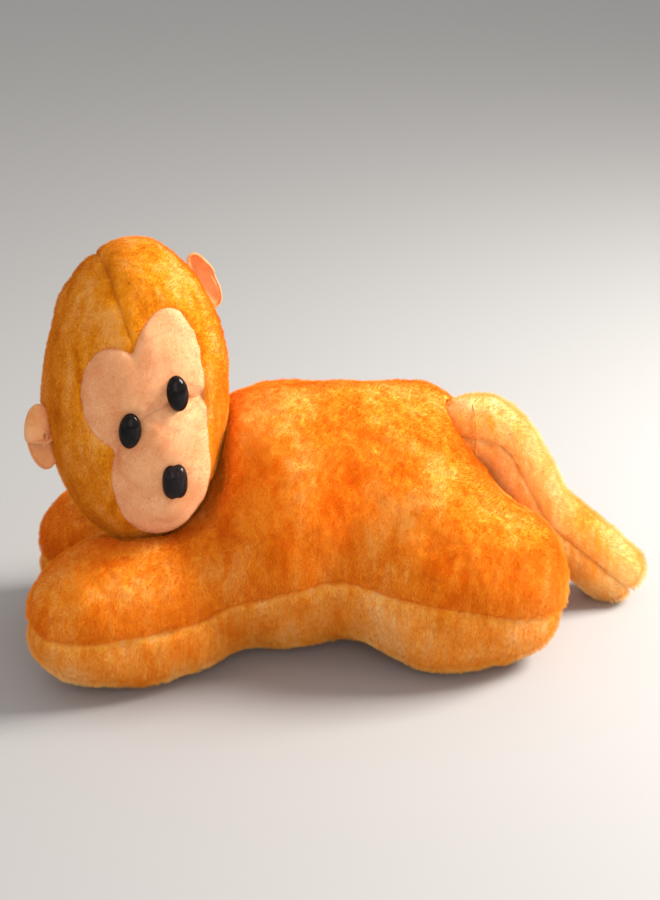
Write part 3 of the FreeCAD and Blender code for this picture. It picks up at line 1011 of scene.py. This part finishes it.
def pile_looks(patches):
    """Fabric and strands of each pile, from its colours and the colour at its roots, which is painted shade
    deep in the pile. The belly's and the tail's piles are painted lighter for light falling on them, the
    hood's darker for painted shade.
    """
    body = {"Lit": (1.00, 0.50, 0.09, 1), "Middle": (0.96, 0.33, 0.018, 1), "Deep": (0.86, 0.20, 0.003, 1),
            "Patches": 30.0}
    # The belly's pile: the body's orange painted lighter, painted light cast up onto the belly from the pale
    # floor.
    bounce_lit = {"Lit": (1.00, 0.66, 0.24, 1), "Middle": (1.00, 0.48, 0.07, 1), "Deep": (0.92, 0.30, 0.014, 1),
            "Patches": 30.0}
    # The tail's pile: the body's orange painted paler, painted light where the key lamp falls full on the
    # tail, its root colour too.
    tail = {"Lit": (1.00, 0.78, 0.42, 1), "Middle": (1.00, 0.64, 0.22, 1), "Deep": (0.96, 0.44, 0.06, 1),
            "Patches": 30.0}
    # The hood's pile: the body's orange painted darker, painted shade matched to the side of the head turned
    # from the key lamp.
    hood = {"Lit": (0.97, 0.48, 0.10, 1), "Middle": (0.90, 0.34, 0.012, 1), "Deep": (0.70, 0.20, 0.002, 1),
            "Patches": 45.0}
    # Each pile's last colour is its root colour: painted shade deep in the pile.
    piles = (
        ("pile", body, (0.75, 0.16, 0.004, 1)), ("bounce_lit", bounce_lit, (0.82, 0.24, 0.01, 1)),
        ("tail", tail, (0.90, 0.40, 0.05, 1)), ("hood", hood, (0.60, 0.17, 0.005, 1)),
    )
    return {
        name: [pile_fabric(name + "_fabric", patches, colors),
               strands(name + "_strands", patches, colors, root)]
        for name, colors, root in piles
    }


def make_looks():
    nap, rubbed = close_nap(), wear()
    looks = pile_looks(nap_patches())
    face = {"Lit": (0.94, 0.50, 0.25, 1), "Deep": (0.84, 0.36, 0.15, 1)}
    ear = {"Lit": (0.95, 0.48, 0.22, 1), "Deep": (0.84, 0.32, 0.10, 1)}
    fibre = {"Lit": (0.9, 0.9, 0.88, 1), "Deep": (0.7, 0.7, 0.68, 1), "Grain": 500.0}
    thread = {"Lit": (0.85, 0.36, 0.08, 1), "Deep": (0.5, 0.15, 0.02, 1), "Grain": 2400.0}
    eye = {"Color": (0.006, 0.005, 0.005, 1), "Rubbed": (0.012, 0.010, 0.010, 1)}
    nose = {"Color": (0.012, 0.008, 0.009, 1), "Rubbed": (0.022, 0.015, 0.016, 1), "Smooth": 0.12,
            "Rough": 0.26}
    washer = {"Color": (0.8, 0.8, 0.78, 1), "Rubbed": (0.7, 0.7, 0.68, 1), "Smooth": 0.35, "Rough": 0.5}
    # The last colour of the face's and the ear's velour is the root colour of their strands: painted shade
    # deep in the nap.
    for name, colors, root in (("face", face, (0.80, 0.36, 0.16, 1)), ("ear", ear, (0.75, 0.32, 0.12, 1))):
        looks[name] = [plain_nap(name + "_velour", nap, colors, 0.4),
                       strands(name + "_strands", nap, colors, root)]
    looks["fibre"] = plain_nap("fibre_wadding", nap, fibre, 0.2)
    looks["thread"] = plain_nap("thread_twist", nap, thread, 0.1)
    looks["eye"] = glossy("button_gloss", rubbed, eye)
    looks["nose"] = glossy("nose_gloss", rubbed, nose)
    looks["washer"] = glossy("washer_plastic", rubbed, washer)
    return looks


def dress_nodes(looks):
    """Finishes for the parts that keep their own shape."""
    finishes = (
        (looks["thread"], ("closing_stitch", "neck_stitch", "tail_stitch")),
        (looks["pile"][0], ("neck_sleeve", "neck_socket")),
        (looks["fibre"], ("neck_filling",)),
        (looks["washer"], ("eye_washer_left", "eye_washer_right", "nose_washer")),
    )
    for material, nodes in finishes:
        for node in nodes:
            mesh = frame["nodes"][node].data
            mesh.materials.clear()
            mesh.materials.append(material)


# ---------------------------------------------------------------- studio

def area_light(name, place, size, power, color, target):
    data = bpy.data.lights.new(name, "AREA")
    data.energy = power
    data.size = size
    data.color = color
    light = bpy.data.objects.new(name, data)
    light.location = place
    light.rotation_mode = "QUATERNION"
    light.rotation_quaternion = (target - light.location).to_track_quat("-Z", "Y")
    bpy.context.collection.objects.link(light)


def add_camera(target):
    level = CAMERA_DISTANCE * math.cos(CAMERA_RISE)
    back = Vector((level * math.sin(CAMERA_TURN), -level * math.cos(CAMERA_TURN),
                   CAMERA_DISTANCE * math.sin(CAMERA_RISE)))
    data = bpy.data.cameras.new("camera")
    data.sensor_width = SENSOR
    data.lens = SENSOR * CAMERA_DISTANCE / CAMERA_WIDTH
    camera = bpy.data.objects.new("camera", data)
    camera.location = target + back
    camera.rotation_mode = "QUATERNION"
    camera.rotation_quaternion = (-back).to_track_quat("-Z", "Y")
    bpy.context.collection.objects.link(camera)
    bpy.context.scene.camera = camera


def add_floor():
    corners = [(-FLOOR_HALF, -FLOOR_HALF, 0), (FLOOR_HALF, -FLOOR_HALF, 0),
               (FLOOR_HALF, FLOOR_HALF, 0), (-FLOOR_HALF, FLOOR_HALF, 0)]
    mesh = bpy.data.meshes.new("floor")
    mesh.from_pydata(corners, [], [(0, 1, 2, 3)])
    material, shader = new_material("floor_paper", 0.8)
    shader.inputs["Base Color"].default_value = (0.43, 0.44, 0.455, 1)
    mesh.materials.append(material)
    floor = bpy.data.objects.new("floor", mesh)
    bpy.context.collection.objects.link(floor)


def studio():
    """Camera, pale floor, an even warm sky, and two soft lights."""
    target = Vector(FOOTPRINT) + Vector((0.0, 0.0, AIM_HEIGHT))
    add_camera(target)
    add_floor()
    world = bpy.data.worlds.new("studio")
    world.use_nodes = True
    sky = world.node_tree.nodes["Background"]
    sky.inputs["Color"].default_value = (1.0, 0.95, 0.90, 1)
    sky.inputs["Strength"].default_value = 0.60
    scene = bpy.context.scene
    scene.world = world
    scene.view_settings.view_transform = "Standard"
    area_light("key", (1.15, -0.05, 1.0), 0.6, 45.0, (1.0, 0.93, 0.84), target)
    area_light("fill", (-0.2, -1.4, 0.8), 1.0, 4.5, (1.0, 0.95, 0.92), target)


studio()
looks = make_looks()
make_trunk(looks)
make_head(looks)
make_tail(looks)
make_ears(looks)
for name, place in EYES.items():
    button(name + "_button", place, EYE_HALF, name, "head", ("button_black", looks["eye"]), round_outline)
button("nose_button", NOSE, NOSE_HALF, "nose", "head", ("nose_black", looks["nose"]), nose_outline)
dress_nodes(looks)
